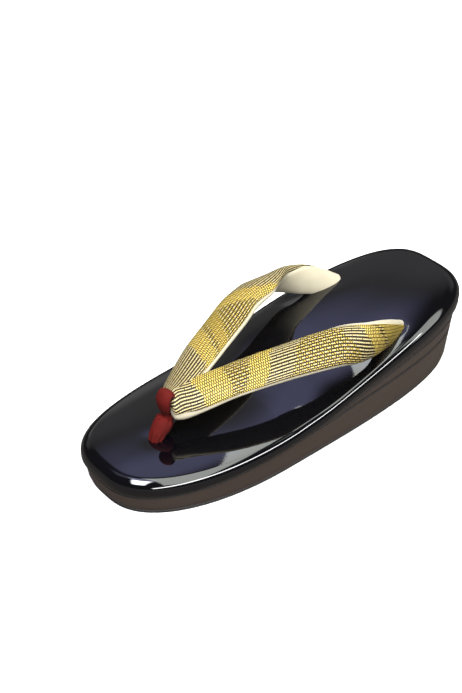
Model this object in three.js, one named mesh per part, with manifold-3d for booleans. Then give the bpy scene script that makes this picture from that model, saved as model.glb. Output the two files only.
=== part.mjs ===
// A left zori: a dress sandal with a padded enamel top on a stacked platform,
// a padded thong of two arms joined at the front, and a small cloth loop that ties the thong to the toe.
// Millimetres. The toe points to -Y, the outer side of the foot is +X and the floor is z = 0.
import * as THREE from 'three';
import { mergeVertices } from 'three/addons/utils/BufferGeometryUtils.js';
import Module from 'manifold-3d';

const wasm = await Module();
wasm.setup();

// Plan outline
const LENGTH = 240;
const WIDEST_FROM_HEEL = 149;
const OUTER_SIDE = { sign: 1, halfWidth: 44.1, toePower: 2.2, heelPower: 3.25 };
const INNER_SIDE = { sign: -1, halfWidth: 41.7, toePower: 3.35, heelPower: 3.4 };
const STATION_POWER = 2.8;
const STATIONS_PER_END = 20;
const FRONT_CUT_MARGIN = 6;
const WELD_DISTANCE = 1e-4;

// Stack of the platform
const SEAT_GAP = 0.3;
const OUTSOLE_THICKNESS = 2.4;
const OUTSOLE_SETBACK = 0.5;
const WALL_INSET_AT_PAD = 1.6;
const WALL_INSET_AT_FLOOR = 3.7;
const LAYER_EDGE_ROUND = 0.8;
const LAYER_ROUND_SHARE = 0.35;
const LOWER_WEDGE_FRONT = 133;
const UPPER_WEDGE_FRONT = 128;

// Heights of the side's lines: tops of the base, of the two heel wedges, and of the pad's edge
const SIDE_LINES = [
  { fromHeel: 0, base: 22.8, lowerWedge: 31.4, upperWedge: 34.2, padEdge: 50.8 },
  { fromHeel: 30, base: 22.2, lowerWedge: 31.0, upperWedge: 33.8, padEdge: 47.2 },
  { fromHeel: 60, base: 21.6, lowerWedge: 29.9, upperWedge: 32.7, padEdge: 42.8 },
  { fromHeel: 90, base: 20.9, lowerWedge: 26.9, upperWedge: 29.6, padEdge: 37.4 },
  { fromHeel: 110, base: 20.2, lowerWedge: 23.6, upperWedge: 25.7, padEdge: 33.2 },
  { fromHeel: 125, base: 19.5, lowerWedge: 20.9, upperWedge: 22.0, padEdge: 29.8 },
  { fromHeel: 133, base: 19.1, lowerWedge: 19.8, upperWedge: 20.4, padEdge: 28.4 },
  { fromHeel: 150, base: 18.3, lowerWedge: 18.3, upperWedge: 18.3, padEdge: 26.2 },
  { fromHeel: 180, base: 16.0, lowerWedge: 16.0, upperWedge: 16.0, padEdge: 24.6 },
  { fromHeel: 210, base: 13.3, lowerWedge: 13.3, upperWedge: 13.3, padEdge: 23.3 },
  { fromHeel: 240, base: 11.2, lowerWedge: 11.2, upperWedge: 11.2, padEdge: 22.4 },
];

// Padded top
const PAD_TUCK = 3.2;
const PAD_LOWER_ROUND = 0.3;
const PAD_UPPER_ROUND = 0.56;
const PAD_CROWN = 2;
const PAD_CROWN_POWER = 4;
const PAD_ROUND_STEPS = 5;
const PAD_ROUND_END = THREE.MathUtils.degToRad(78);
const PAD_COLUMNS = 12;

// Thong: one row for each section of an arm, from the nose at the front to the rear seat
const ARM_SECTIONS = {
  outer: [
    { fromHeel: 198.2, out: 2.2, up: 43.4, lean: 46, width: 15.5, thick: 8.2 },
    { fromHeel: 195, out: 3.2, up: 43.4, lean: 40, width: 17.6, thick: 9.2 },
    { fromHeel: 187, out: 5.5, up: 44.8, lean: 25, width: 19.4, thick: 8.6 },
    { fromHeel: 165, out: 13.7, up: 50.2, lean: 11, width: 21.2, thick: 8 },
    { fromHeel: 140, out: 22.8, up: 54, lean: 12, width: 22.2, thick: 8.6 },
    { fromHeel: 115.5, out: 32.4, up: 57.1, lean: 25, width: 22, thick: 9.2 },
    { fromHeel: 96, out: 35.2, up: 53.4, lean: 68, width: 19.8, thick: 8.6 },
    { fromHeel: 79.3, out: 32.8, up: 48.2, lean: 86, width: 17.5, thick: 8 },
    { fromHeel: 61.5, out: 27.6, up: 40.2, lean: 97, width: 13, thick: 7 },
  ],
  inner: [
    { fromHeel: 198, out: 0.4, up: 44.4, lean: 52, width: 11.5, thick: 8 },
    { fromHeel: 194.5, out: 2.6, up: 44, lean: 40, width: 16, thick: 9 },
    { fromHeel: 187, out: 5.5, up: 44.8, lean: 25, width: 19.4, thick: 8.6 },
    { fromHeel: 165, out: 13.7, up: 50.2, lean: 11, width: 21.2, thick: 8 },
    { fromHeel: 140, out: 22.8, up: 54, lean: 12, width: 22.2, thick: 8.6 },
    { fromHeel: 126, out: 28.2, up: 56, lean: 14, width: 22.2, thick: 9 },
    { fromHeel: 113, out: 30.4, up: 57.8, lean: 17, width: 22.8, thick: 9.2 },
    { fromHeel: 102, out: 32.9, up: 57.2, lean: 38, width: 20.8, thick: 9 },
    { fromHeel: 91, out: 34.2, up: 54, lean: 72, width: 18.6, thick: 8.6 },
    { fromHeel: 74, out: 30, up: 48.6, lean: 103, width: 17, thick: 8 },
    { fromHeel: 56, out: 24.2, up: 40.6, lean: 119, width: 12.2, thick: 6.6 },
  ],
};
const ARM_STEPS = 44;
const ARM_SIDES = 16;
const ARM_SEAT_DEPTH = 3;

// Toe loop: rows round the ring that holds the nose, from below it over the front and the top
const RING_SECTIONS = [
  { fromHeel: 199.4, up: 34.6, thick: 4.6, width: 7.6 },
  { fromHeel: 200.5, up: 37.8, thick: 3.6, width: 5.4 },
  { fromHeel: 201.7, up: 42.5, thick: 4.8, width: 8.4 },
  { fromHeel: 202, up: 46.8, thick: 5.2, width: 9.4 },
  { fromHeel: 200.3, up: 49.9, thick: 4.6, width: 8.6 },
  { fromHeel: 197.4, up: 47.8, thick: 3.6, width: 6.6 },
  { fromHeel: 195.7, up: 43.5, thick: 3.4, width: 5.5 },
  { fromHeel: 197, up: 38.4, thick: 3.6, width: 6 },
];
// Rows of the gathered stem under the ring, down into the pad
const STEM_SECTIONS = [
  { fromHeel: 199.8, up: 35.2, thick: 5, width: 6 },
  { fromHeel: 200.8, up: 33.8, thick: 8.4, width: 9.6 },
  { fromHeel: 202.5, up: 31.4, thick: 9.2, width: 10.2 },
  { fromHeel: 205, up: 28.2, thick: 8.4, width: 9 },
  { fromHeel: 206.5, up: 25.2, thick: 7, width: 7.6 },
  { fromHeel: 207.3, up: 22, thick: 6, width: 7 },
  { fromHeel: 207.7, up: 19.4, thick: 5.4, width: 6.6 },
];
const RING_STEPS = 40;
const STEM_STEPS = 16;
const LOOP_SIDES = 12;

// Finishes
const BLACK_ENAMEL = { color: 0x0e0d12, roughness: 0.08, metalness: 0 };
const SIDE_ENAMEL = { color: 0x1c1715, roughness: 0.12, metalness: 0 };
const SOLE_RUBBER = { color: 0x1b1a19, roughness: 0.7, metalness: 0 };
const GOLD_BROCADE = { color: 0xb3993f, roughness: 0.55, metalness: 0.2 };
const RED_CLOTH = { color: 0x8f2325, roughness: 0.8, metalness: 0 };

// Centres the box of the outline on the origin
const AXIS_SHIFT = (INNER_SIDE.halfWidth - OUTER_SIDE.halfWidth) / 2;

// A point from its distance across, from the heel and up
function at(across, fromHeel, up) {
  return new THREE.Vector3(across, LENGTH / 2 - fromHeel, up);
}

// Smooth height of one of the side's lines
function sideLine(column) {
  return (fromHeel) => {
    const last = SIDE_LINES.length - 1;
    const s = THREE.MathUtils.clamp(fromHeel, 0, LENGTH);
    let i = 0;
    while (i < last - 1 && s > SIDE_LINES[i + 1].fromHeel) i += 1;
    const slope = (k) => {
      const before = SIDE_LINES[Math.max(k - 1, 0)];
      const after = SIDE_LINES[Math.min(k + 1, last)];
      return (after[column] - before[column]) / (after.fromHeel - before.fromHeel);
    };
    const [a, b] = [SIDE_LINES[i], SIDE_LINES[i + 1]];
    const span = b.fromHeel - a.fromHeel;
    const t = (s - a.fromHeel) / span;
    const bend = t * t * (3 - 2 * t);
    const leave = t * (1 - t) * (1 - t) * span * slope(i);
    const arrive = t * t * (t - 1) * span * slope(i + 1);
    return a[column] + (b[column] - a[column]) * bend + leave + arrive;
  };
}

const baseTop = sideLine('base');
const lowerWedgeTop = sideLine('lowerWedge');
const upperWedgeTop = sideLine('upperWedge');
const padEdge = sideLine('padEdge');
const padUnder = (s) => upperWedgeTop(s) + SEAT_GAP;

// Reach of the outline from its widest place to the toe or the heel
function reach(towardsToe) {
  return towardsToe ? LENGTH - WIDEST_FROM_HEEL : WIDEST_FROM_HEEL;
}

// Distance from the widest place, as a share of that end's reach, which is drawn in by the end's inset
function reachShare(s, inset) {
  const towardsToe = s > WIDEST_FROM_HEEL;
  const end = inset(towardsToe ? LENGTH : 0);
  return Math.min(Math.abs(s - WIDEST_FROM_HEEL) / (reach(towardsToe) - end), 1);
}

// Half width of one side of the outline, drawn in by an inset that may change along the foot
function halfWidth(side, s, inset) {
  const power = s > WIDEST_FROM_HEEL ? side.toePower : side.heelPower;
  return (side.halfWidth - inset(s)) * (1 - reachShare(s, inset) ** power) ** (1 / power);
}

// Places along the foot, closer together towards the round ends, up to an optional front cut
function stations(inset, front) {
  const places = [];
  for (let i = -STATIONS_PER_END; i <= STATIONS_PER_END; i += 1) {
    const share = Math.sin((Math.abs(i) / STATIONS_PER_END) * Math.PI / 2) ** (2 / STATION_POWER);
    const offset = Math.sign(i) * share;
    const full = WIDEST_FROM_HEEL + offset * reach(i > 0);
    if (front === undefined || full < front - FRONT_CUT_MARGIN) {
      places.push(WIDEST_FROM_HEEL + offset * (reach(i > 0) - inset(i > 0 ? LENGTH : 0)));
    }
  }
  if (front !== undefined) places.push(front);
  return places;
}

// Turns triangles, listed as points, into one closed geometry with its faces outwards
function closedGeometry(triangles) {
  const loose = new THREE.BufferGeometry().setFromPoints(triangles);
  const welded = mergeVertices(loose, WELD_DISTANCE);
  const index = welded.getIndex().array;
  const corner = (k) => new THREE.Vector3().fromBufferAttribute(welded.attributes.position, k);
  const kept = [];
  let volume = 0;
  for (let i = 0; i < index.length; i += 3) {
    const [a, b, c] = [index[i], index[i + 1], index[i + 2]];
    if (a !== b && b !== c && c !== a) {
      kept.push(a, b, c);
      volume += corner(a).dot(corner(b).cross(corner(c)));
    }
  }
  if (volume < 0) kept.reverse();
  welded.setIndex(kept);
  return welded;
}

function quad(out, a, b, c, d) {
  out.push(a, b, c, a, c, d);
}

// A stacked form: rows of outline from bottom to top, each with an inset and a height at each station.
// The lower face is ruled straight across, and the upper one is a grid that may be crowned.
function stackedForm(rows, front, columns, crown) {
  const grid = rows.map(({ inset, height }) => stations(inset, front).map((place) => {
    const point = (side) => at(side.sign * halfWidth(side, place, inset), place, height(place));
    return { left: point(INNER_SIDE), right: point(OUTER_SIDE) };
  }));
  const triangles = [];
  const count = grid[0].length;
  for (let r = 0; r + 1 < grid.length; r += 1) {
    const [low, high] = [grid[r], grid[r + 1]];
    for (let i = 0; i + 1 < count; i += 1) {
      quad(triangles, low[i].right, high[i].right, high[i + 1].right, low[i + 1].right);
      quad(triangles, low[i + 1].left, high[i + 1].left, high[i].left, low[i].left);
    }
    quad(triangles, low[0].left, high[0].left, high[0].right, low[0].right);
    quad(triangles, low[count - 1].right, high[count - 1].right, high[count - 1].left, low[count - 1].left);
  }
  const across = (row, i, share) => {
    const point = row[i].left.clone().lerp(row[i].right, share);
    if (crown && share > 0 && share < 1) point.z = crown(point.x, LENGTH / 2 - point.y);
    return point;
  };
  const bottom = grid[0];
  const top = grid[grid.length - 1];
  for (let i = 0; i + 1 < count; i += 1) {
    quad(triangles, bottom[i].left, bottom[i].right, bottom[i + 1].right, bottom[i + 1].left);
    for (let c = 0; c < columns; c += 1) {
      const [from, to] = [c / columns, (c + 1) / columns];
      const [near, far] = [from, to].map((share) => [across(top, i, share), across(top, i + 1, share)]);
      quad(triangles, near[0], near[1], far[1], far[0]);
    }
  }
  return closedGeometry(triangles);
}

// One flat layer of the platform, with softly rounded edges that leave a groove to its neighbours
function layer(low, high, setback, front) {
  const wall = (s, z) => {
    const rise = z / padUnder(s);
    return WALL_INSET_AT_FLOOR + (WALL_INSET_AT_PAD - WALL_INSET_AT_FLOOR) * rise + setback;
  };
  const round = (s) => Math.min(LAYER_EDGE_ROUND, (high(s) - low(s)) * LAYER_ROUND_SHARE);
  const rows = [
    { height: low, drawIn: 1 },
    { height: (s) => low(s) + round(s), drawIn: 0 },
    { height: (s) => high(s) - round(s), drawIn: 0 },
    { height: high, drawIn: 1 },
  ].map(({ height, drawIn }) => ({
    height,
    inset: (s) => wall(s, height(s)) + drawIn * round(s),
  }));
  return stackedForm(rows, front, 1);
}

// Radius of the pad's upper edge
function padRound(s) {
  return (padEdge(s) - padUnder(s)) * PAD_UPPER_ROUND;
}

// Height of the pad's crowned top
function padTop(x, s) {
  const side = x > 0 ? OUTER_SIDE : INNER_SIDE;
  const power = s > WIDEST_FROM_HEEL ? side.toePower : side.heelPower;
  const across = Math.abs(x) / (side.halfWidth - padRound(s));
  const level = Math.min((across ** power + reachShare(s, padRound) ** power) ** (1 / power), 1);
  return padEdge(s) + PAD_CROWN * (1 - level ** PAD_CROWN_POWER);
}

function paddedTop() {
  const lowRound = (s) => (padEdge(s) - padUnder(s)) * PAD_LOWER_ROUND;
  const rows = [];
  for (let i = 0; i <= PAD_ROUND_STEPS; i += 1) {
    const turn = (i / PAD_ROUND_STEPS) * Math.PI / 2;
    rows.push({
      inset: () => PAD_TUCK * (1 - Math.sin(turn)),
      height: (s) => padUnder(s) + lowRound(s) * (1 - Math.cos(turn)),
    });
  }
  for (let i = 0; i <= PAD_ROUND_STEPS; i += 1) {
    const turn = (i / PAD_ROUND_STEPS) * PAD_ROUND_END;
    rows.push({
      inset: (s) => padRound(s) * (1 - Math.cos(turn)),
      height: (s) => padEdge(s) - padRound(s) * (1 - Math.sin(turn)),
    });
  }
  return stackedForm(rows, undefined, PAD_COLUMNS, padTop);
}

// A body lofted through rings of points, closed on itself or capped at both ends
function loft(rings, closed) {
  const triangles = [];
  const sides = rings[0].length;
  const spans = closed ? rings.length : rings.length - 1;
  for (let r = 0; r < spans; r += 1) {
    const [ring, next] = [rings[r], rings[(r + 1) % rings.length]];
    for (let k = 0; k < sides; k += 1) {
      const after = (k + 1) % sides;
      quad(triangles, ring[k], ring[after], next[after], next[k]);
    }
  }
  if (!closed) {
    for (const [ring, flip] of [[rings[0], true], [rings[rings.length - 1], false]]) {
      const centre = ring.reduce((sum, p) => sum.add(p), new THREE.Vector3()).divideScalar(sides);
      for (let k = 0; k < sides; k += 1) {
        const [a, b] = [ring[k], ring[(k + 1) % sides]];
        triangles.push(centre, flip ? b : a, flip ? a : b);
      }
    }
  }
  return closedGeometry(triangles);
}

// An oval ring about a centre, from its two half axes
function ovalRing(centre, halfAcross, halfThrough, sides) {
  const ring = [];
  for (let k = 0; k < sides; k += 1) {
    const turn = (k / sides) * Math.PI * 2;
    const point = centre.clone().addScaledVector(halfAcross, Math.cos(turn));
    ring.push(point.addScaledVector(halfThrough, Math.sin(turn)));
  }
  return ring;
}

// One arm of the thong on its side of the foot, grown all round by a clearance
function thongArm(side, sections, clearance) {
  const path = new THREE.CatmullRomCurve3(sections.map((row) => at(row.out, row.fromHeel, row.up)));
  const sizes = new THREE.CatmullRomCurve3(
    sections.map((row) => new THREE.Vector3(row.lean, row.width, row.thick)),
  );
  const rings = [];
  for (let i = 0; i <= ARM_STEPS; i += 1) {
    const t = i / ARM_STEPS;
    const along = path.getTangent(t);
    const size = sizes.getPoint(t);
    const lean = THREE.MathUtils.degToRad(size.x);
    const outward = along.clone().cross(new THREE.Vector3(0, 0, 1)).normalize();
    const upward = outward.clone().cross(along);
    const across = outward.clone().multiplyScalar(Math.cos(lean)).addScaledVector(upward, -Math.sin(lean));
    const through = outward.clone().multiplyScalar(Math.sin(lean)).addScaledVector(upward, Math.cos(lean));
    across.multiplyScalar(size.y / 2 + clearance);
    through.multiplyScalar(size.z / 2 + clearance);
    rings.push(ovalRing(path.getPoint(t), across, through, ARM_SIDES));
  }
  const mirror = new THREE.Vector3(side.sign, 1, 1);
  return loft(rings.map((ring) => ring.map((p) => p.multiply(mirror))), false);
}

// Rings of an oval cord on the centre line, through rows of sizes, grown all round by a clearance
function cordRings(rows, steps, closed, clearance) {
  const path = new THREE.CatmullRomCurve3(rows.map((row) => at(0, row.fromHeel, row.up)), closed);
  const sizes = new THREE.CatmullRomCurve3(
    rows.map((row) => new THREE.Vector3(row.width, row.thick, 0)),
    closed,
  );
  const rings = [];
  const last = closed ? steps - 1 : steps;
  for (let i = 0; i <= last; i += 1) {
    const t = i / steps;
    const size = sizes.getPoint(t);
    const across = new THREE.Vector3(1, 0, 0);
    const through = path.getTangent(t).cross(across).multiplyScalar(size.y / 2 + clearance);
    across.multiplyScalar(size.x / 2 + clearance);
    rings.push(ovalRing(path.getPoint(t), across, through, LOOP_SIDES));
  }
  return rings;
}

// Solids for cutting and joining, and back again
function solid(geometry) {
  return new wasm.Manifold(new wasm.Mesh({
    numProp: 3,
    vertProperties: new Float32Array(geometry.attributes.position.array),
    triVerts: new Uint32Array(geometry.getIndex().array),
  }));
}

function geometryOf(body) {
  const mesh = body.getMesh();
  const geometry = new THREE.BufferGeometry();
  geometry.setAttribute('position', new THREE.BufferAttribute(new Float32Array(mesh.vertProperties), 3));
  geometry.setIndex(new THREE.BufferAttribute(new Uint32Array(mesh.triVerts), 1));
  return geometry;
}

// Both arms, joined where they meet
function bothArms(clearance) {
  const outer = solid(thongArm(OUTER_SIDE, ARM_SECTIONS.outer, clearance));
  return outer.add(solid(thongArm(INNER_SIDE, ARM_SECTIONS.inner, clearance)));
}

// The toe loop: a ring round the nose, joined to its stem
function toeLoop(clearance) {
  const ring = solid(loft(cordRings(RING_SECTIONS, RING_STEPS, true, clearance), true));
  return ring.add(solid(loft(cordRings(STEM_SECTIONS, STEM_STEPS, false, clearance), false)));
}

// The arms sit in shallow dents of the pad; the loop's ring passes through the nose and its stem into the pad
const padBody = solid(paddedTop());
const loweredPad = (depth) => padBody.translate([0, 0, -depth]);
const loopSpace = toeLoop(SEAT_GAP);
const thong = bothArms(0).subtract(loweredPad(ARM_SEAT_DEPTH)).subtract(loopSpace);
const dents = bothArms(SEAT_GAP).subtract(loweredPad(ARM_SEAT_DEPTH + SEAT_GAP));
const pad = padBody.subtract(dents).subtract(loopSpace);

const above = (line) => (s) => line(s) + SEAT_GAP;
const outsoleTop = () => OUTSOLE_THICKNESS;
const PIECES = [
  { name: 'outsole', finish: SOLE_RUBBER, geometry: layer(() => 0, outsoleTop, OUTSOLE_SETBACK) },
  { name: 'base_layer', finish: SIDE_ENAMEL, geometry: layer(above(outsoleTop), baseTop, 0) },
  {
    name: 'lower_heel_wedge',
    finish: SIDE_ENAMEL,
    geometry: layer(above(baseTop), lowerWedgeTop, 0, LOWER_WEDGE_FRONT),
  },
  {
    name: 'upper_heel_wedge',
    finish: SIDE_ENAMEL,
    geometry: layer(above(lowerWedgeTop), upperWedgeTop, 0, UPPER_WEDGE_FRONT),
  },
  { name: 'padded_top', finish: BLACK_ENAMEL, geometry: geometryOf(pad) },
  { name: 'thong_straps', finish: GOLD_BROCADE, geometry: geometryOf(thong) },
  { name: 'toe_loop', finish: RED_CLOTH, geometry: geometryOf(toeLoop(0)) },
];

const zori = new THREE.Group();
const assembly = new THREE.Group();
assembly.position.x = AXIS_SHIFT;
zori.add(assembly);
for (const { name, finish, geometry } of PIECES) {
  const mesh = new THREE.Mesh(geometry, new THREE.MeshStandardMaterial(finish));
  mesh.name = name;
  assembly.add(mesh);
}

export default zori;
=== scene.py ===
"""A left zori: enamel platform with a padded top, brocade thong with a cream lining, and a red toe loop."""

import math

import bmesh
import bpy
from mathutils import Matrix, Vector


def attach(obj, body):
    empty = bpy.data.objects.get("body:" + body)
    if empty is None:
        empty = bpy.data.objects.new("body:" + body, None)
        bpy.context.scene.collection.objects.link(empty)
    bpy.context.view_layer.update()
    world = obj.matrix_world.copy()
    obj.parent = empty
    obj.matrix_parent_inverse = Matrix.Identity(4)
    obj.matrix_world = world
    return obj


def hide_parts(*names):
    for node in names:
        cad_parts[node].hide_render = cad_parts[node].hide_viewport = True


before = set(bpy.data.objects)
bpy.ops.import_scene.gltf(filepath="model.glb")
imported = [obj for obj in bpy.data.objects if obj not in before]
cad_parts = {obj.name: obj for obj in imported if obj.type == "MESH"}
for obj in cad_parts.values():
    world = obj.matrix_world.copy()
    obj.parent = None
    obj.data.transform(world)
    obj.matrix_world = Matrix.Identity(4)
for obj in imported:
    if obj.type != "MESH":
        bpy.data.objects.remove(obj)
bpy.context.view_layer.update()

# Sizes are in millimetres from here on, and points are turned to metres where they are placed
MM = 0.001


def table(columns, rows):
    """Rows of values, each value under the name of its column."""
    return [dict(zip(columns.split(), row, strict=True)) for row in rows]


# Plan outline, in halves that differ between the outer and the inner side of the foot
LENGTH = 240
WIDEST_FROM_HEEL = 149
OUTER_SIDE = {"sign": 1, "half_width": 44.1, "toe_power": 2.2, "heel_power": 3.25, "brocade": 0}
INNER_SIDE = {"sign": -1, "half_width": 41.7, "toe_power": 3.35, "heel_power": 3.4, "brocade": 1}
AXIS_SHIFT = (INNER_SIDE["half_width"] - OUTER_SIDE["half_width"]) / 2
OUTLINE_SEGMENTS = 240

# Stack of the platform
SEAT_GAP = 0.3
OUTSOLE_THICKNESS = 2.4
OUTSOLE_SETBACK = 0.5
WALL_INSET_AT_PAD = 1.6
WALL_INSET_AT_FLOOR = 3.7
LAYER_EDGE_ROUND = 1.3
LAYER_ROUND_SHARE = 0.45
LAYER_ROUND_STEPS = 4
LAYER_WALL_STEPS = 4
# Painted shade in the grooves between the layers: how dark the covering is painted from a layer's edge
# outwards, one value for each step of its round
LAYER_PAINTED_GROOVE_SHADE = {"bottom": (1, 0.6, 0.2, 0, 0), "top": (1, 1, 0.95, 0.7, 0)}
LOWER_WEDGE_FRONT = 133
UPPER_WEDGE_FRONT = 128

# Heights of the side's lines: tops of the base, of the two heel wedges, and of the pad's edge
SIDE_LINES = table("from_heel base lower_wedge upper_wedge pad_edge", [
    (0, 22.8, 31.4, 34.2, 50.8),
    (30, 22.2, 31.0, 33.8, 47.2),
    (60, 21.6, 29.9, 32.7, 42.8),
    (90, 20.9, 26.9, 29.6, 37.4),
    (110, 20.2, 23.6, 25.7, 33.2),
    (125, 19.5, 20.9, 22.0, 29.8),
    (133, 19.1, 19.8, 20.4, 28.4),
    (150, 18.3, 18.3, 18.3, 26.2),
    (180, 16.0, 16.0, 16.0, 24.6),
    (210, 13.3, 13.3, 13.3, 23.3),
    (240, 11.2, 11.2, 11.2, 22.4),
])

# Padded top: a nearly flat middle with soft shoulders
PAD_TUCK = 3.2
PAD_LOWER_ROUND = 0.3
PAD_UPPER_ROUND = 0.56
PAD_CROWN = 2
PAD_CROWN_POWER = 4
PAD_ROUND_STEPS = 14
PAD_ROUND_END = math.radians(78)
PAD_TOP_RINGS = 70
PAD_POLE_LEVEL = 0.012

# Dips that the thong and the loop press into the pad, along a short line on its top
PAD_DIPS = [
    {"start": (33.5, 92), "end": (28.0, 63), "depth": 0.3, "radius": 4.6},
    {"start": (-32.5, 86), "end": (-26.0, 58), "depth": 0.7, "radius": 4.6},
    {"start": (0, 207.5), "end": (0, 204.5), "depth": 0.3, "radius": 5},
]

# Thong: one row for each section of an arm, from the nose at the front to the rear seat.
# Near and far are the angles of the seams where the brocade ends: below the arm's outer edge, and past
# its inner edge. Both arms share the rows of their middle stretch.
ARM_COLUMNS = "from_heel out up lean width thick near far"
ARM_MIDDLE = [
    (187, 5.5, 44.8, 25, 19.4, 8.6, 24, 165),
    (165, 13.7, 50.2, 11, 21.2, 8, 10, 163),
    (140, 22.8, 54, 12, 22.2, 8.6, 9, 163),
]
ARM_SECTIONS = {
    "outer": table(ARM_COLUMNS, [
        (198.2, 2.2, 43.4, 46, 15.5, 8.2, 40, 172),
        (195, 3.2, 43.4, 40, 17.6, 9.2, 44, 172),
        *ARM_MIDDLE,
        (115.5, 32.4, 57.1, 25, 22, 9.2, 9, 164),
        (96, 35.2, 53.4, 68, 19.8, 8.6, 4, 160),
        (79.3, 32.8, 48.2, 86, 17.5, 8, -8, 146),
        (61.5, 27.6, 40.2, 97, 13, 7, -14, 140),
    ]),
    "inner": table(ARM_COLUMNS, [
        (198, 0.4, 44.4, 52, 11.5, 8, 40, 172),
        (194.5, 2.6, 44, 40, 16, 9, 44, 172),
        *ARM_MIDDLE,
        (126, 28.2, 56, 14, 22.2, 9, 9, 163),
        (113, 30.4, 57.8, 17, 22.8, 9.2, 9, 172),
        (102, 32.9, 57.2, 38, 20.8, 9, 6, 212),
        (91, 34.2, 54, 72, 18.6, 8.6, 2, 220),
        (74, 30, 48.6, 103, 17, 8, -8, 185),
        (56, 24.2, 40.6, 119, 12.2, 6.6, -14, 150),
    ]),
}
ARM_STEPS = 150
ARM_END_RINGS = 5
ARM_END_LENGTH = 1.5
FACE_COLUMNS = 48
LINING_COLUMNS = 24
LINING = 2
SEAM_DEPTH = 0.45
SEAM_WIDTH = 0.09
SEAM_STEEPNESS = 12
WELD_DISTANCE = 0.02
# Share of a curve, to either side of a place, over which its direction is measured
CURVE_STEP = 1e-3

# Toe loop: rows round the ring that holds the nose, from below it over the front and the top.
# Its cloth is gathered into folds near some rows.
CORD_COLUMNS = "from_heel up thick width"
GATHER_COLUMNS = "row folds depth reach turn"
RING = {
    "closed": True,
    "steps": 120,
    "rows": table(CORD_COLUMNS, [
        (199.4, 34.6, 4.6, 7.6),
        (200.5, 37.8, 3.6, 5.4),
        (201.7, 42.5, 4.8, 8.4),
        (202, 46.8, 5.2, 9.4),
        (200.3, 49.9, 4.6, 8.6),
        (197.4, 47.8, 3.6, 6.6),
        (195.7, 43.5, 3.4, 5.5),
        (197, 38.4, 3.6, 6),
    ]),
    "gathers": table(GATHER_COLUMNS, [
        (0.6, 7, 0.12, 0.6, 1.1),
        (4.0, 5, 0.03, 0.8, 0.2),
    ]),
}
# Rows of the gathered stem under the ring, down into the pad
STEM = {
    "closed": False,
    "steps": 64,
    "rows": table(CORD_COLUMNS, [
        (199.8, 35.2, 5, 6),
        (200.8, 33.8, 8.4, 9.6),
        (202.5, 31.4, 9.2, 10.2),
        (205, 28.2, 8.4, 9),
        (206.5, 25.2, 7, 7.6),
        (207.3, 22, 6, 7),
        (207.7, 19.4, 5.4, 6.6),
    ]),
    "gathers": table(GATHER_COLUMNS, [
        (0.4, 9, 0.12, 0.8, 0.4),
        (4.0, 9, 0.13, 0.8, 0.9),
    ]),
}
LOOP_SIDES = 48

# Edges that turn more sharply than this stay sharp, in degrees
SMOOTH_ANGLE = 40
STRAP_SMOOTH_ANGLE = 55
LOOP_SMOOTH_ANGLE = 70

# Brocade: weaves by how bright their gold is, how much of each rib shows cream floats, and how wide
# the dark lines are
WEAVES = {
    "striped": (0.3, 0.88, 0.54),
    "bright": (1.0, 0.08, 0.2),
    "olive": (0.1, 0.06, 0.16),
    "dashed": (0.2, 0.36, 0.44),
}
# Blocks of weave along each arm: where one begins at the outer and at the inner seam, in length run
# from the nose
BLOCK_COLUMNS = "weave outer inner"
BROCADE_BLOCKS = {
    "outer": table(BLOCK_COLUMNS, [
        ("striped", -20, -20),
        ("bright", 18, 15),
        ("dashed", 32, 34),
        ("bright", 37, 52),
        ("striped", 48, 63),
        ("dashed", 62, 78),
        ("striped", 106, 94),
        ("bright", 119, 105),
        ("dashed", 136, 113),
        ("olive", 140, 117),
    ]),
    "inner": table(BLOCK_COLUMNS, [
        ("striped", -20, -20),
        ("bright", 42, 27),
        ("dashed", 57, 36),
        ("olive", 61, 40),
        ("dashed", 74, 47),
        ("bright", 63, 88),
        ("striped", 78, 102),
        ("olive", 140, 136),
    ]),
}
# Width of the charted cloth, and how far the edge of a block jags from rib to rib
BLOCK_WIDTH = 22
BLOCK_JAG = 2
# Threads of such cloth are too fine to show in the render, so ribs, floats and threads are drawn coarser.
# A float's width is a share of the rib, and the steps are shares of a period from rib to rib.
RIB_PITCH = 1.5
FLOAT_WIDTH = 0.32
FLOAT_PERIOD = 3.8
FLOAT_STEP = 0.37
THREAD_PERIOD = 1.2
THREAD_STEP = 0.5
THREAD_SHARE = 0.5
# Relief of the cloth: the depth of a rib, and how far threads and floats stand out, as shares of it
RIB_DEPTH = 0.2
THREAD_RISE = 0.3
FLOAT_RISE = 0.5
# Each gold as a painted shaded and lit pair: the dim tone is painted shade where the threads dip, the lit
# tone is where they cross over
GOLD = {"olive": ("#2e260a", "#b39a42"), "bright": ("#2e240a", "#ceb356")}
CREAM_FLOAT = "#b5a982"
DARK_LINE = "#1c150c"

# Finishes: the sizes of their patterns, and the painted shade (near black) and the roughness of the covering
# next to the grooves where a layer's edge turns in
ENAMEL_CLOUD = 35
PAINTED_GROOVE_SHADE_COLOUR = "#060404"
GROOVE_ROUGHNESS = 0.7
RUBBER_COLOURS = ("#171514", "#2b2724")
RUBBER_PEBBLE = 1.4
RUBBER_PEBBLE_DEPTH = 0.15
RUBBER_DUST = 18
CLOTH_TONE = 7

# Camera: the direction it looks from, its distance and its lens, in degrees and millimetres
CAMERA_AZIMUTH = 46.102
CAMERA_ELEVATION = 36.427
CAMERA_ROLL = 2.825
CAMERA_DISTANCE = 775.4
CAMERA_TARGET = (-31.70, 0, 21.69)
CAMERA_SENSOR = 36
CAMERA_LENS = 73.705
CAMERA_SHIFT = (-0.01734, 0.00452)

FLOOR_SIZE = 6000
FLOOR_SEEN = "#f6f5f3"
FLOOR_BOUNCE = "#4a4642"

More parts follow.
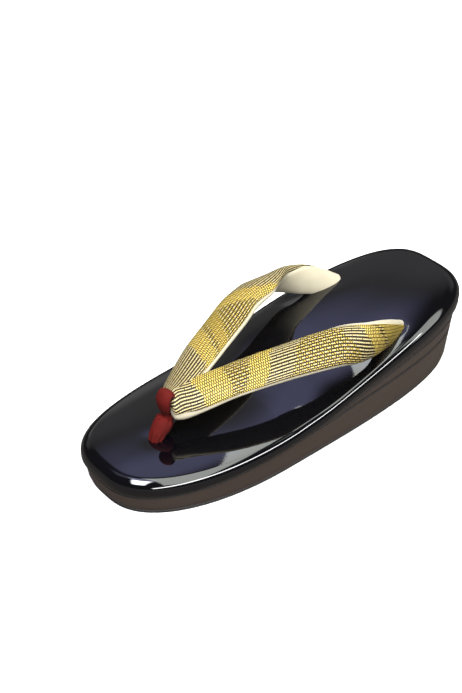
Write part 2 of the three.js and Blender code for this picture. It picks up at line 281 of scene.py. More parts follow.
# Soft cards painted into the surroundings: azimuth from +Y towards +X and height of the middle,
# half sizes, turn about the middle and soft border, in degrees
COOL_WHITE = "#f6fbf4"
STUDIO_CARDS = table("azimuth height half turn soft colour light", [
    (90, 70.1, (13.8, 37.5), 26.2, 3, COOL_WHITE, 4.4),
    (30.3, 39.4, (24, 7), -64.1, 3, COOL_WHITE, 3.6),
    (162, 57, (8.5, 19), -14, 5, "#f6f7ff", 26),
    (-124, 68, (9, 14), 0, 10, "#d0d4ff", 0.6),
    (-135, 79, (6, 8), 0, 8, "#d0d4ff", 3.5),
    (-54, 54, (8, 7), 0, 9, "#c4c6ff", 1.1),
    (-50, 36, (45, 9), 0, 12, "#ffffff", 0.25),
    (-66, 25, (14, 5), 0, 8, "#ffffff", 0.45),
])
# A card shows only to directions that look its way, by the cosine between the two
CARD_FRONT = 0.05
# Cards hung round the shoe, as seen from a place on it, so that their mirror images shift along the shoe.
# The strip shows as a line in the gloss alone, and the fill lights everything but shows in no gloss.
HUNG_CARDS = table("name seen_from distance azimuth height half turn colour light gloss cloth", [
    ("near_card", (40, -50, 30), 935, -35.2, 58.4, (4, 6.5), -28.8, COOL_WHITE, 4.4, True, True),
    ("edge_strip", (0, 0, 30), 3000, 91.9, 31.4, (44, 4), -19.2, "#ffffff", 20, True, False),
    ("side_fill", (0, 0, 30), 1500, 98, 53, (15, 15), 0, "#ffffff", 13, False, True),
])
STUDIO_AMBIENT = {"colour": "#f2f0f0", "strength": 0.06}
BACKDROP = {"colour": "#ffffff", "strength": 1.0}


def linear(hex_colour):
    """An sRGB hex colour as linear red, green, blue and alpha."""
    channels = [int(hex_colour[i:i + 2], 16) / 255 for i in (1, 3, 5)]
    return [c / 12.92 if c <= 0.04045 else ((c + 0.055) / 1.055) ** 2.4 for c in channels] + [1.0]


def at(across, from_heel, up):
    """A point of the shoe, in metres."""
    return Vector((across + AXIS_SHIFT, LENGTH / 2 - from_heel, up)) * MM


def side_line(column):
    """Smooth height of one of the side's lines, along the foot."""
    places = [row["from_heel"] for row in SIDE_LINES]
    heights = [row[column] for row in SIDE_LINES]
    last = len(places) - 1

    def slope(k):
        before, after = max(k - 1, 0), min(k + 1, last)
        return (heights[after] - heights[before]) / (places[after] - places[before])

    def height(from_heel):
        s = min(max(from_heel, 0), LENGTH)
        i = max(k for k in range(last) if k == 0 or s > places[k])
        span = places[i + 1] - places[i]
        t = (s - places[i]) / span
        bend = t * t * (3 - 2 * t)
        leave = t * (1 - t) * (1 - t) * span * slope(i)
        arrive = t * t * (t - 1) * span * slope(i + 1)
        return heights[i] + (heights[i + 1] - heights[i]) * bend + leave + arrive

    return height


base_top = side_line("base")
lower_wedge_top = side_line("lower_wedge")
upper_wedge_top = side_line("upper_wedge")
pad_edge = side_line("pad_edge")


def pad_under(s):
    """Height of the pad's underside."""
    return upper_wedge_top(s) + SEAT_GAP


def outline_part(turn):
    """The side, the reach and the power of the outline at a turn from the toe (0) over the outer side."""
    side = OUTER_SIDE if math.sin(turn) >= 0 else INNER_SIDE
    if math.cos(turn) >= 0:
        return side, LENGTH, side["toe_power"]
    return side, 0, side["heel_power"]


def outline_place(turn, inset):
    """Across and from_heel of the outline at a turn, drawn in by an inset that may change along the foot."""
    side, end, power = outline_part(turn)
    reach = end - WIDEST_FROM_HEEL
    reach -= math.copysign(inset(end), reach)
    from_heel = WIDEST_FROM_HEEL + reach * abs(math.cos(turn)) ** (2 / power)
    share = abs(math.sin(turn)) ** (2 / power)
    return side["sign"] * (side["half_width"] - inset(from_heel)) * share, from_heel


def all_round():
    """Turns from the toe round the whole outline."""
    return [2 * math.pi * k / OUTLINE_SEGMENTS for k in range(OUTLINE_SEGMENTS)]


def round_heel(front):
    """Turns from a front cut round the heel and back to the cut on the inner side."""
    share = (WIDEST_FROM_HEEL - front) / WIDEST_FROM_HEEL
    first = math.acos(-share ** (OUTER_SIDE["heel_power"] / 2))
    last = 2 * math.pi - math.acos(-share ** (INNER_SIDE["heel_power"] / 2))
    return [first + (last - first) * k / (OUTLINE_SEGMENTS - 1) for k in range(OUTLINE_SEGMENTS)]


def extruded_rings(bm, turns, rows):
    """A circle, extruded once for each further row; a row places a ring's points by their turn."""
    turn_of = bm.verts.layers.float.get("turn") or bm.verts.layers.float.new("turn")
    ring = bmesh.ops.create_circle(bm, segments=len(turns), radius=1)["verts"]
    for vert, turn in zip(ring, turns):
        vert[turn_of] = turn
    edges = list({edge for vert in ring for edge in vert.link_edges})
    rings = []
    for row in rows:
        if rings:
            made = bmesh.ops.extrude_edge_only(bm, edges=edges)["geom"]
            ring = [part for part in made if isinstance(part, bmesh.types.BMVert)]
            fresh = set(ring)
            edges = list({e for v in ring for e in v.link_edges if set(e.verts) <= fresh})
        for vert in ring:
            vert.co = row(vert[turn_of])
        rings.append((ring, edges))
    return rings


def close_ends(bm, rings):
    """Fills the first and the last of the extruded rings with a face."""
    for _, edges in (rings[0], rings[-1]):
        bmesh.ops.contextual_create(bm, geom=edges)


def finished(name, bm, materials, smooth_angle=SMOOTH_ANGLE):
    """Closes a mesh's bookkeeping and puts it in the scene as a piece that rides on the shoe."""
    bmesh.ops.recalc_face_normals(bm, faces=bm.faces)
    for face in bm.faces:
        face.smooth = True
    mesh = bpy.data.meshes.new(name)
    bm.to_mesh(mesh)
    bm.free()
    mesh.set_sharp_from_angle(angle=math.radians(smooth_angle))
    for material in materials:
        mesh.materials.append(material)
    piece = bpy.data.objects.new(name, mesh)
    bpy.context.scene.collection.objects.link(piece)
    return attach(piece, "root")


def layer(name, low, high, setback, material, front=None):
    """One flat layer of the platform, with softly rounded edges that leave a groove to its neighbours."""
    def wall(s, z):
        rise = z / pad_under(s)
        return WALL_INSET_AT_FLOOR + (WALL_INSET_AT_PAD - WALL_INSET_AT_FLOOR) * rise + setback

    def edge_round(s):
        return min(LAYER_EDGE_ROUND, (high(s) - low(s)) * LAYER_ROUND_SHARE)

    def wall_height(share):
        return lambda s: (low(s) + edge_round(s)) * (1 - share) + (high(s) - edge_round(s)) * share

    def ring_row(height, draw_in):
        def inset(s):
            return wall(s, height(s)) + draw_in * edge_round(s)
        return lambda turn: at(*outline_place(turn, inset), height(outline_place(turn, inset)[1]))

    rows = []
    for k in range(LAYER_ROUND_STEPS + 1):
        turn = math.pi / 2 * k / LAYER_ROUND_STEPS
        rise, draw = 1 - math.cos(turn), 1 - math.sin(turn)
        rows.append(ring_row(lambda s, rise=rise: low(s) + edge_round(s) * rise, draw))
    for k in range(1, LAYER_WALL_STEPS):
        rows.append(ring_row(wall_height(k / LAYER_WALL_STEPS), 0))
    for k in range(LAYER_ROUND_STEPS + 1):
        turn = math.pi / 2 * k / LAYER_ROUND_STEPS
        fall, draw = 1 - math.sin(turn), 1 - math.cos(turn)
        rows.append(ring_row(lambda s, fall=fall: high(s) - edge_round(s) * fall, draw))
    bm = bmesh.new()
    painted_groove_shade = bm.verts.layers.float.new("painted_groove_shade")
    rings = extruded_rings(bm, round_heel(front) if front else all_round(), rows)
    # Painted shade: the covering is darkened towards near black over the rounds next to the grooves between
    # layers
    for k, (ring, _) in enumerate(rings):
        steps_in = {"bottom": k, "top": len(rings) - 1 - k}
        shade = max(LAYER_PAINTED_GROOVE_SHADE[end][min(steps_in[end], LAYER_ROUND_STEPS)] for end in steps_in)
        for vert in ring:
            vert[painted_groove_shade] = shade
    close_ends(bm, rings)
    return finished(name, bm, [material])


def pad_round(s):
    """Radius of the pad's upper edge."""
    return (pad_edge(s) - pad_under(s)) * PAD_UPPER_ROUND


def pad_shoulder(s):
    """Inset at which the pad's rounded edge hands over to its crowned top."""
    return pad_round(s) * (1 - math.cos(PAD_ROUND_END))


def pad_dip(across, from_heel):
    """Depth that the thong and the loop press into the pad at a place."""
    depth = 0
    place = Vector((across, from_heel))
    for dip in PAD_DIPS:
        start, end = Vector(dip["start"]), Vector(dip["end"])
        run = end - start
        share = min(max((place - start).dot(run) / run.length_squared, 0), 1)
        distance = (place - start - run * share).length
        depth += dip["depth"] * math.exp(-(distance / dip["radius"]) ** 2)
    return depth


def padded_top(material):
    """The padded top: tucked underside, rounded edge, and a crowned face in rings to its middle."""
    def under_row(turn_up):
        def row(turn):
            across, s = outline_place(turn, lambda _: PAD_TUCK * (1 - math.sin(turn_up)))
            low_round = (pad_edge(s) - pad_under(s)) * PAD_LOWER_ROUND
            return at(across, s, pad_under(s) + low_round * (1 - math.cos(turn_up)))
        return row

    def edge_row(turn_in):
        def row(turn):
            across, s = outline_place(turn, lambda p: pad_round(p) * (1 - math.cos(turn_in)))
            height = pad_edge(s) - pad_round(s) * (1 - math.sin(turn_in))
            return at(across, s, height - pad_dip(across, s))
        return row

    def top_row(level):
        def row(turn):
            across, s = outline_place(turn, pad_shoulder)
            across, s = across * level, WIDEST_FROM_HEEL + (s - WIDEST_FROM_HEEL) * level
            shoulder = pad_edge(s) - pad_round(s) * (1 - math.sin(PAD_ROUND_END))
            return at(across, s, shoulder + PAD_CROWN * (1 - level ** PAD_CROWN_POWER) - pad_dip(across, s))
        return row

    steps = [k / PAD_ROUND_STEPS for k in range(PAD_ROUND_STEPS + 1)]
    rows = [under_row(share * math.pi / 2) for share in steps]
    rows += [edge_row(share * PAD_ROUND_END) for share in steps]
    rows += [top_row(1 - (1 - PAD_POLE_LEVEL) * k / PAD_TOP_RINGS) for k in range(1, PAD_TOP_RINGS + 1)]
    bm = bmesh.new()
    rings = extruded_rings(bm, all_round(), rows)
    bmesh.ops.contextual_create(bm, geom=rings[0][1])
    pole = sum((vert.co for vert in rings[-1][0]), Vector()) / OUTLINE_SEGMENTS
    bmesh.ops.pointmerge(bm, verts=rings[-1][0], merge_co=pole)
    return finished("padded_top_dressed", bm, [material])


def spline(points, share, closed=False):
    """A point of the smooth curve through the points, at a share of its rows."""
    count = len(points)
    place = share * (count if closed else count - 1)
    i = int(place) if closed else min(int(place), count - 2)
    t = place - i
    if closed:
        before, start, end, after = (points[(i + k) % count] for k in (-1, 0, 1, 2))
    else:
        start, end = points[i], points[i + 1]
        before = points[i - 1] if i else start * 2 - end
        after = points[i + 2] if i + 2 < count else end * 2 - start
    gaps = [math.sqrt((b - a).length) for a, b in ((before, start), (start, end), (end, after))]
    first = (start - before) / gaps[0] - (end - before) / (gaps[0] + gaps[1]) + (end - start) / gaps[1]
    second = (end - start) / gaps[1] - (after - start) / (gaps[1] + gaps[2]) + (after - end) / gaps[2]
    first, second = first * gaps[1], second * gaps[1]
    bend = (end - start) * 3 - first * 2 - second
    ease = (start - end) * 2 + first + second
    return start + first * t + bend * t ** 2 + ease * t ** 3


def arm_rows(sections):
    """Places, sizes and seams of an arm's sections."""
    places = [Vector((row["out"], LENGTH / 2 - row["from_heel"], row["up"])) for row in sections]
    sizes = [Vector((row["lean"], row["width"], row["thick"])) for row in sections]
    seams = [Vector((row["near"], row["far"], row["from_heel"])) for row in sections]
    return places, sizes, seams


def arm_angle(column, seams):
    """Angle of a column round an arm's section: first the brocade's, over the top, then the lining's."""
    outer, inner = math.radians(seams.x), math.radians(seams.y)
    if column <= FACE_COLUMNS:
        return outer + (inner - outer) * column / FACE_COLUMNS
    return inner + (2 * math.pi + outer - inner) * (column - FACE_COLUMNS) / LINING_COLUMNS


def arm_section(places, sizes, seams, share, swell):
    """Places one ring of an arm: an oval with a groove at each seam."""
    centre = spline(places, share)
    ahead, behind = (spline(places, min(max(share + move, 0), 1)) for move in (CURVE_STEP, -CURVE_STEP))
    along = (ahead - behind).normalized()
    size, seam = spline(sizes, share), spline(seams, share)
    lean = math.radians(size.x)
    outward = along.cross(Vector((0, 0, 1))).normalized()
    upward = outward.cross(along)
    across = outward * math.cos(lean) - upward * math.sin(lean)
    through = outward * math.sin(lean) + upward * math.cos(lean)
    half = Vector((size.y, size.z)) / 2

    def place(column):
        angle = arm_angle(column, seam)
        point = Vector((half.x * math.cos(angle), half.y * math.sin(angle)))
        normal = Vector((math.cos(angle) / half.x, math.sin(angle) / half.y)).normalized()
        face = column / FACE_COLUMNS
        nearest = min(abs(face), abs(face - 1), abs(column - FACE_COLUMNS - LINING_COLUMNS) / FACE_COLUMNS)
        relief = -SEAM_DEPTH * math.exp(-(nearest / SEAM_WIDTH) ** 2 * SEAM_STEEPNESS)
        point = (point + normal * relief) * swell
        return centre + across * point.x + through * point.y

    return place, centre, along


def face_width(half, seam):
    """Width of the brocade across an arm, measured over its oval."""
    steps = 24
    outer, inner = math.radians(seam.x), math.radians(seam.y)
    angles = [outer + (inner - outer) * k / steps for k in range(steps + 1)]
    points = [Vector((half.x * math.cos(a), half.y * math.sin(a))) for a in angles]
    return sum((b - a).length for a, b in zip(points, points[1:]))


def thong_arm(side, sections):
    """One arm of the thong as a mesh, cut on the shoe's middle plane.

    Its UV map measures the cloth in metres, along the arm and across it.
    """
    places, sizes, seams = arm_rows(sections)
    columns = list(range(FACE_COLUMNS + LINING_COLUMNS))
    shares = [k / ARM_STEPS for k in range(ARM_STEPS + 1)]
    turns = [k / ARM_END_RINGS * math.pi / 2 for k in range(1, ARM_END_RINGS)]
    steps = [(0, -math.sin(turn), math.cos(turn)) for turn in reversed(turns)]
    steps += [(share, 0, 1) for share in shares]
    steps += [(1, math.sin(turn), math.cos(turn)) for turn in turns]
    rows, cloth, run, before = [], [], 0, None
    for share, beyond, swell in steps:
        place, centre, along = arm_section(places, sizes, seams, share, swell)
        middle = centre + along * beyond * ARM_END_LENGTH
        run += (middle - before).length if before else 0
        before = middle
        size, seam = spline(sizes, share), spline(seams, share)
        cloth.append((run, face_width(size.yz / 2, seam)))

        def row(column, place=place, move=middle - centre):
            point = place(column) + move
            return Vector((side["sign"] * point.x + AXIS_SHIFT, point.y, point.z)) * MM

        rows.append(row)
    bm = bmesh.new()
    step_of = bm.verts.layers.int.new("step")
    rings = extruded_rings(bm, columns, rows)
    for k, (ring, _) in enumerate(rings):
        for vert in ring:
            vert[step_of] = k
    close_ends(bm, rings)
    column_of = bm.verts.layers.float.get("turn")
    uv_map = bm.loops.layers.uv.new("cloth")
    for face in bm.faces:
        held = [vert[column_of] for vert in face.verts]
        face.material_index = LINING if max(held) > FACE_COLUMNS else side["brocade"]
        for loop in face.loops:
            run, width = cloth[loop.vert[step_of]]
            across = (loop.vert[column_of] / FACE_COLUMNS - 0.5) * width
            loop[uv_map].uv = (run * MM, across * MM)
    bmesh.ops.bisect_plane(
        bm, geom=bm.verts[:] + bm.edges[:] + bm.faces[:],
        plane_co=at(0, 0, 0), plane_no=(side["sign"], 0, 0), clear_inner=True)
    mesh = bpy.data.meshes.new("arm_half")
    bm.to_mesh(mesh)
    bm.free()
    return mesh


def thong(materials):
    """Both arms, welded along the middle seam of the nose."""
    bm = bmesh.new()
    for side, arm in ((OUTER_SIDE, "outer"), (INNER_SIDE, "inner")):
        half = thong_arm(side, ARM_SECTIONS[arm])
        bm.from_mesh(half)
        bpy.data.meshes.remove(half)
    bmesh.ops.remove_doubles(bm, verts=bm.verts, dist=WELD_DISTANCE * MM)
    return finished("thong_dressed", bm, materials, smooth_angle=STRAP_SMOOTH_ANGLE)


def cord_row(cord, share):
    """Places one ring of a cord: an oval, pleated near the rows where the cloth is gathered."""
    rows, closed = cord["rows"], cord["closed"]
    path = [Vector((0, LENGTH / 2 - row["from_heel"], row["up"])) for row in rows]
    sizes = [Vector((row["width"], row["thick"], 0)) / 2 for row in rows]
    moved = [share - CURVE_STEP, share + CURVE_STEP]
    ends = [end % 1 if closed else min(max(end, 0), 1) for end in moved]
    along = spline(path, ends[1], closed) - spline(path, ends[0], closed)
    through = along.normalized().cross(Vector((1, 0, 0)))
    centre, size = spline(path, share, closed), spline(sizes, share, closed)
    place = share * (len(rows) if closed else len(rows) - 1)

    def row(turn):
        grow = 1
        for gather in cord["gathers"]:
            apart = abs(place - gather["row"])
            apart = min(apart, len(rows) - apart) if closed else apart
            wave = math.cos(gather["folds"] * turn + gather["turn"])
            grow += gather["depth"] * wave * math.exp(-(apart / gather["reach"]) ** 2)
        point = centre + through * (size.y * math.sin(turn) * grow)
        return Vector((size.x * math.cos(turn) * grow + AXIS_SHIFT, point.y, point.z)) * MM

    return row


def toe_loop(material):
    """The toe loop: a ring of padded cloth round the nose, on a stem gathered at its neck and foot."""
    bm = bmesh.new()
    turns = [2 * math.pi * k / LOOP_SIDES for k in range(LOOP_SIDES)]
    for cord in (RING, STEM):
        steps = cord["steps"]
        shares = [k / steps for k in range(steps if cord["closed"] else steps + 1)]
        rings = extruded_rings(bm, turns, [cord_row(cord, share) for share in shares])
        if cord["closed"]:
            bmesh.ops.bridge_loops(bm, edges=rings[0][1] + rings[-1][1])
        else:
            close_ends(bm, rings)
    return finished("toe_loop_dressed", bm, [material], smooth_angle=LOOP_SMOOTH_ANGLE)


def node(tree, kind, *values, **named):
    """Adds a node with its settings and inputs; an input is a value, or a node or socket to link from."""
    made = tree.nodes.new(kind)
    for key in [key for key in named if hasattr(made, key)]:
        setattr(made, key, named.pop(key))
    usable = [socket for socket in made.inputs if socket.enabled]
    wanted = list(zip(usable, values))
    for key, value in named.items():
        label = key.replace("_", " ")
        wanted.append((next(socket for socket in usable if socket.name == label), value))
    for socket, value in wanted:
        if isinstance(value, bpy.types.Node):
            value = next(output for output in value.outputs if output.enabled)
        if isinstance(value, bpy.types.NodeSocket):
            tree.links.new(value, socket)
        else:
            socket.default_value = value
    return made


def surface(name):
    """A new material and its empty tree."""
    material = bpy.data.materials.new(name)
    material.use_nodes = True
    material.node_tree.nodes.clear()
    return material, material.node_tree


def enamel(name, colours, roughness, ior, grain_mm, grain_depth_mm):
    """Lacquered synthetic leather: deep gloss over a dark colour; duller, and painted near black as shade,
    in the grooves between layers.
    """
    material, tree = surface(name)
    where = node(tree, "ShaderNodeTexCoord").outputs["Object"]
    cloud = node(tree, "ShaderNodeTexNoise", Vector=where, Scale=1 / (ENAMEL_CLOUD * MM), Detail=3.0)
    tint = node(tree, "ShaderNodeMix", data_type="RGBA", Factor=cloud,
                A=linear(colours[0]), B=linear(colours[1]))
    grain = node(tree, "ShaderNodeTexNoise", Vector=where, Scale=1 / (grain_mm * MM), Detail=2.0)
    relief = node(tree, "ShaderNodeBump", Strength=1.0, Distance=grain_depth_mm * MM, Height=grain)
    # Painted shade in the grooves between layers, carried by a vertex attribute, darkens the colour and
    # dulls the gloss
    painted_groove_shade = node(tree, "ShaderNodeAttribute", attribute_name="painted_groove_shade").outputs["Fac"]
    tint = node(tree, "ShaderNodeMix", data_type="RGBA", Factor=painted_groove_shade, A=tint, B=linear(PAINTED_GROOVE_SHADE_COLOUR))
    dull = node(tree, "ShaderNodeMapRange", Value=painted_groove_shade, To_Min=roughness, To_Max=GROOVE_ROUGHNESS)
    shader = node(tree, "ShaderNodeBsdfPrincipled", Base_Color=tint, Normal=relief, Roughness=dull, IOR=ior)
    node(tree, "ShaderNodeOutputMaterial", Surface=shader)
    return material


def sole_rubber():
    """Moulded rubber: matt and dark, with a fine pebbled skin."""
    material, tree = surface("moulded_rubber")
    where = node(tree, "ShaderNodeTexCoord").outputs["Object"]
    pebble = node(tree, "ShaderNodeTexVoronoi", Vector=where, Scale=1 / (RUBBER_PEBBLE * MM))
    relief = node(tree, "ShaderNodeBump", Strength=0.6, Distance=RUBBER_PEBBLE_DEPTH * MM, Height=pebble)
    dust = node(tree, "ShaderNodeTexNoise", Vector=where, Scale=1 / (RUBBER_DUST * MM), Detail=4.0)
    tint = node(tree, "ShaderNodeMix", data_type="RGBA", Factor=dust,
                A=linear(RUBBER_COLOURS[0]), B=linear(RUBBER_COLOURS[1]))
    shader = node(tree, "ShaderNodeBsdfPrincipled", Base_Color=tint, Normal=relief, Roughness=0.65)
    node(tree, "ShaderNodeOutputMaterial", Surface=shader)
    return material


def plain_cloth(name, colours, grain_mm, depth_mm, sheen):
    """Soft matt cloth, slightly uneven in tone, with a fine crinkled grain that catches the light."""
    material, tree = surface(name)
    where = node(tree, "ShaderNodeTexCoord").outputs["Object"]
    tone = node(tree, "ShaderNodeTexNoise", Vector=where, Scale=1 / (CLOTH_TONE * MM), Detail=3.0)
    tint = node(tree, "ShaderNodeMix", data_type="RGBA", Factor=tone,
                A=linear(colours[0]), B=linear(colours[1]))
    grain = node(tree, "ShaderNodeTexNoise", Vector=where, Scale=1 / (grain_mm * MM),
                 Detail=3.0, Distortion=0.6)
    relief = node(tree, "ShaderNodeBump", Strength=0.7, Distance=depth_mm * MM, Height=grain)
    shader = node(tree, "ShaderNodeBsdfPrincipled", Base_Color=tint, Normal=relief, Roughness=0.85,
                  Specular_IOR_Level=0.15, Sheen_Weight=sheen, Sheen_Roughness=0.4)
    node(tree, "ShaderNodeOutputMaterial", Surface=shader)
    return material


def brocade(name, blocks):
    """Woven gold brocade: ribs of metal-wrapped thread that glint, with cream floats and dark lines."""
    material, tree = surface(name)
    cloth = node(tree, "ShaderNodeSeparateXYZ", node(tree, "ShaderNodeUVMap", uv_map="cloth"))
    along, across = cloth.outputs["X"], cloth.outputs["Y"]
    ribs = node(tree, "ShaderNodeMath", across, RIB_PITCH * MM, operation="DIVIDE")
    rib = node(tree, "ShaderNodeMath", ribs, operation="FLOOR")
    in_rib = node(tree, "ShaderNodeMath", ribs, operation="FRACT")
    in_rib = node(tree, "ShaderNodeMath", in_rib, 0.5, operation="SUBTRACT")
    off_rib = node(tree, "ShaderNodeMath", in_rib, operation="ABSOLUTE")
    mark = node(tree, "ShaderNodeTexWhiteNoise", noise_dimensions="1D", W=rib)
    jagged = node(tree, "ShaderNodeMath", mark, BLOCK_JAG * MM, along, operation="MULTIPLY_ADD")
    weave = None
    for block in blocks:
        begins = (block["outer"] + block["inner"]) / 2
        slant = (block["inner"] - block["outer"]) / BLOCK_WIDTH
        place = node(tree, "ShaderNodeMath", rib, -slant * RIB_PITCH * MM, jagged, operation="MULTIPLY_ADD")
        past = node(tree, "ShaderNodeMath", place, begins * MM, operation="GREATER_THAN")
        weave = node(tree, "ShaderNodeMix", data_type="VECTOR", Factor=past,
                     A=weave or WEAVES[block["weave"]], B=WEAVES[block["weave"]])
    weave = node(tree, "ShaderNodeSeparateXYZ", weave)
    brightness, creamy, dark = weave.outputs

    off_line = node(tree, "ShaderNodeMath", dark, -0.5, 0.5, operation="MULTIPLY_ADD")
    on_rib = node(tree, "ShaderNodeMath", off_rib, off_line, operation="LESS_THAN")
    floats = node(tree, "ShaderNodeMath", along, FLOAT_PERIOD * MM, operation="DIVIDE")
    floats = node(tree, "ShaderNodeMath", rib, FLOAT_STEP, floats, operation="MULTIPLY_ADD")
    floats = node(tree, "ShaderNodeMath", floats, operation="FRACT")
    is_float = node(tree, "ShaderNodeMath", floats, creamy, operation="LESS_THAN")
    on_float = node(tree, "ShaderNodeMath", off_rib, FLOAT_WIDTH / 2, operation="LESS_THAN")
    is_float = node(tree, "ShaderNodeMath", is_float, on_float, operation="MULTIPLY")
    threads = node(tree, "ShaderNodeMath", along, THREAD_PERIOD * MM, operation="DIVIDE")
    threads = node(tree, "ShaderNodeMath", rib, THREAD_STEP, threads, operation="MULTIPLY_ADD")
    threads = node(tree, "ShaderNodeMath", threads, operation="FRACT")
    is_thread = node(tree, "ShaderNodeMath", threads, THREAD_SHARE, operation="LESS_THAN")

    # Painted shade and painted light along each rib: dim gold between the threads, lit gold on them
    golds = [
        node(tree, "ShaderNodeMix", data_type="RGBA", Factor=is_thread, A=linear(dim), B=linear(lit))
        for dim, lit in (GOLD["olive"], GOLD["bright"])]
    gold = node(tree, "ShaderNodeMix", data_type="RGBA", Factor=brightness, A=golds[0], B=golds[1])
    ribbed = node(tree, "ShaderNodeMix", data_type="RGBA", Factor=is_float, A=gold, B=linear(CREAM_FLOAT))
    woven = node(tree, "ShaderNodeMix", data_type="RGBA", Factor=on_rib, A=linear(DARK_LINE), B=ribbed)

    height = node(tree, "ShaderNodeMath", is_thread, THREAD_RISE, on_rib, operation="MULTIPLY_ADD")
    height = node(tree, "ShaderNodeMath", is_float, FLOAT_RISE, height, operation="MULTIPLY_ADD")
    relief = node(tree, "ShaderNodeBump", Strength=0.7, Distance=RIB_DEPTH * MM, Height=height)
    shader = node(tree, "ShaderNodeBsdfPrincipled", Base_Color=woven, Normal=relief,
                  Metallic=0.1, Roughness=0.45, Specular_IOR_Level=0.25)
    node(tree, "ShaderNodeOutputMaterial", Surface=shader)
    return material


def floor():
    """Pale seamless floor; it throws back little light, so that the sides and the undersides stay deep."""
    bm = bmesh.new()
    bmesh.ops.create_grid(bm, x_segments=1, y_segments=1, size=FLOOR_SIZE / 2 * MM)
    mesh = bpy.data.meshes.new("studio_floor")
    bm.to_mesh(mesh)
    bm.free()
    material, tree = surface("pale_paper")
    seen = node(tree, "ShaderNodeLightPath").outputs["Is Camera Ray"]
    tint = node(tree, "ShaderNodeMix", data_type="RGBA", Factor=seen,
                A=linear(FLOOR_BOUNCE), B=linear(FLOOR_SEEN))
    shader = node(tree, "ShaderNodeBsdfPrincipled", Base_Color=tint, Roughness=0.9, Specular_IOR_Level=0.1)
    node(tree, "ShaderNodeOutputMaterial", Surface=shader)
    mesh.materials.append(material)
    sheet = bpy.data.objects.new("studio_floor", mesh)
    bpy.context.scene.collection.objects.link(sheet)


def card_axes(card):
    """Directions of a card: towards its middle, and along its two sides."""
    azimuth, elevation = math.radians(card["azimuth"]), math.radians(card["height"])
    flat = Vector((math.sin(azimuth), math.cos(azimuth), 0))
    facing = flat * math.cos(elevation) + Vector((0, 0, math.sin(elevation)))
    rightward = Matrix.Rotation(math.radians(-card["turn"]), 3, facing) @ flat.cross(Vector((0, 0, 1)))
    return facing, rightward, rightward.cross(facing)


def hung_card(card):
    """A lit card at its own distance, its light in the same measure as that of the painted cards."""
    facing, rightward, _ = card_axes(card)
    light = bpy.data.lights.new(card["name"], "AREA")
    light.shape = "RECTANGLE"
    light.size, light.size_y = (
        2 * card["distance"] * MM * math.tan(math.radians(half)) for half in card["half"])
    light.color = linear(card["colour"])[:3]
    light.energy = card["light"] * math.pi * light.size * light.size_y
    hung = bpy.data.objects.new(card["name"], light)
    place = Matrix((rightward, facing.cross(rightward), facing)).transposed().to_4x4()
    place.translation = (Vector(card["seen_from"]) + facing * card["distance"]) * MM
    hung.matrix_world = place
    hung.visible_camera = False
    hung.visible_glossy = card["gloss"]
    hung.visible_diffuse = card["cloth"]
    bpy.context.scene.collection.objects.link(hung)


def studio():
    """Surroundings with soft cards painted into them, and a plain pale backdrop for the camera."""
    world = bpy.data.worlds.new("studio")
    bpy.context.scene.world = world
    world.use_nodes = True
    tree = world.node_tree
    tree.nodes.clear()
    look = node(tree, "ShaderNodeTexCoord").outputs["Generated"]
    light = [c * STUDIO_AMBIENT["strength"] for c in linear(STUDIO_AMBIENT["colour"])[:3]]
    for card in STUDIO_CARDS:
        forward, right, up = (
            node(tree, "ShaderNodeVectorMath", look, axis, operation="DOT_PRODUCT")
            for axis in card_axes(card))
        shown = node(tree, "ShaderNodeMath", forward, CARD_FRONT, operation="GREATER_THAN")
        for side, half in zip((right, up), card["half"]):
            off = node(tree, "ShaderNodeMath", side, operation="ABSOLUTE")
            off = node(tree, "ShaderNodeMath", off, forward, operation="ARCTAN2")
            fade = node(tree, "ShaderNodeMapRange", interpolation_type="SMOOTHSTEP", Value=off,
                        From_Min=math.radians(half - card["soft"] / 2),
                        From_Max=math.radians(half + card["soft"] / 2), To_Min=1.0, To_Max=0.0)
            shown = node(tree, "ShaderNodeMath", shown, fade, operation="MULTIPLY")
        glow = [c * card["light"] for c in linear(card["colour"])[:3]]
        painted = node(tree, "ShaderNodeVectorMath", glow, Scale=shown, operation="SCALE")
        light = node(tree, "ShaderNodeVectorMath", light, painted, operation="ADD")
    lit = node(tree, "ShaderNodeBackground", Color=light)
    plain = node(tree, "ShaderNodeBackground",
                 Color=linear(BACKDROP["colour"]), Strength=BACKDROP["strength"])
    seen = node(tree, "ShaderNodeLightPath").outputs["Is Camera Ray"]
    node(tree, "ShaderNodeOutputWorld", Surface=node(tree, "ShaderNodeMixShader", seen, lit, plain))


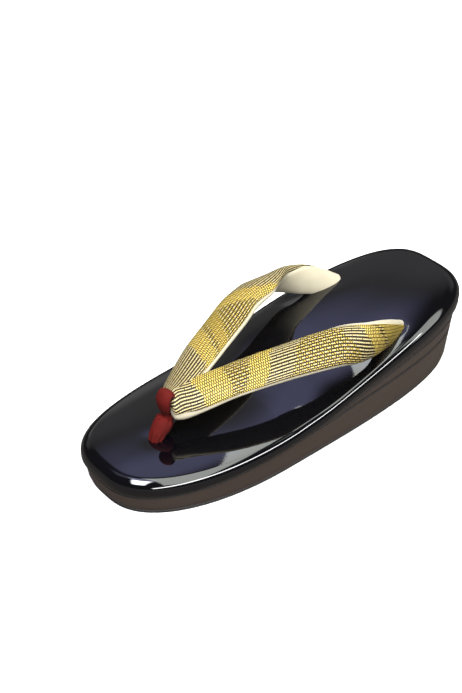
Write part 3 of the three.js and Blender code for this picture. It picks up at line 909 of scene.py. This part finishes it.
def camera():
    """Camera at the photograph's angle, with its slight roll."""
    azimuth, elevation = math.radians(CAMERA_AZIMUTH), math.radians(CAMERA_ELEVATION)
    back = Vector((math.sin(azimuth) * math.cos(elevation), -math.cos(azimuth) * math.cos(elevation),
                   math.sin(elevation)))
    right = (-back).cross(Vector((0, 0, 1))).normalized()
    right = Matrix.Rotation(math.radians(CAMERA_ROLL), 3, back) @ right
    up = back.cross(right)
    data = bpy.data.cameras.new("camera")
    data.sensor_width = CAMERA_SENSOR
    data.lens = CAMERA_LENS
    data.shift_x, data.shift_y = CAMERA_SHIFT
    view = bpy.data.objects.new("camera", data)
    place = Matrix((right, up, back)).transposed().to_4x4()
    place.translation = (Vector(CAMERA_TARGET) + back * CAMERA_DISTANCE) * MM
    view.matrix_world = place
    bpy.context.scene.collection.objects.link(view)
    bpy.context.scene.camera = view


side_enamel = enamel("brown_black_enamel", ("#3e3530", "#453a34"),
                     roughness=0.28, ior=1.4, grain_mm=1.6, grain_depth_mm=0.012)
pad_enamel = enamel("black_enamel", ("#020203", "#040407"),
                    roughness=0.04, ior=1.7, grain_mm=0.8, grain_depth_mm=0.004)


def outsole_top(_):
    """Height of the outsole, the same along the whole foot."""
    return OUTSOLE_THICKNESS


def above(line):
    """Height at which a layer lies on the one whose top is the line."""
    return lambda s: line(s) + SEAT_GAP


LAYERS = [
    {"node": "outsole", "low": lambda _: 0, "high": outsole_top, "setback": OUTSOLE_SETBACK,
     "material": sole_rubber(), "front": None, "slot": "sole_rubber"},
    {"node": "base_layer", "low": above(outsole_top), "high": base_top, "setback": 0,
     "material": side_enamel, "front": None, "slot": "side_enamel"},
    {"node": "lower_heel_wedge", "low": above(base_top), "high": lower_wedge_top, "setback": 0,
     "material": side_enamel, "front": LOWER_WEDGE_FRONT, "slot": "side_enamel"},
    {"node": "upper_heel_wedge", "low": above(lower_wedge_top), "high": upper_wedge_top, "setback": 0,
     "material": side_enamel, "front": UPPER_WEDGE_FRONT, "slot": "side_enamel"},
]
for row in LAYERS:
    piece = layer(
        row["node"] + "_dressed", row["low"], row["high"], row["setback"], row["material"], row["front"])
    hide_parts(row["node"])

top = padded_top(pad_enamel)
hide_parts("padded_top")

lining = plain_cloth(
    "cream_cotton_lining", ("#aea791", "#a29983"), grain_mm=0.7, depth_mm=0.08, sheen=0.1)
straps = thong([brocade("gold_brocade_" + arm, BROCADE_BLOCKS[arm]) for arm in ARM_SECTIONS] + [lining])
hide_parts("thong_straps")

crepe = plain_cloth("red_crepe", ("#580f0a", "#440b07"), grain_mm=0.8, depth_mm=0.1, sheen=0)
loop = toe_loop(crepe)
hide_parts("toe_loop")

floor()
studio()
for card in HUNG_CARDS:
    hung_card(card)
camera()
bpy.context.scene.view_settings.view_transform = "Standard"
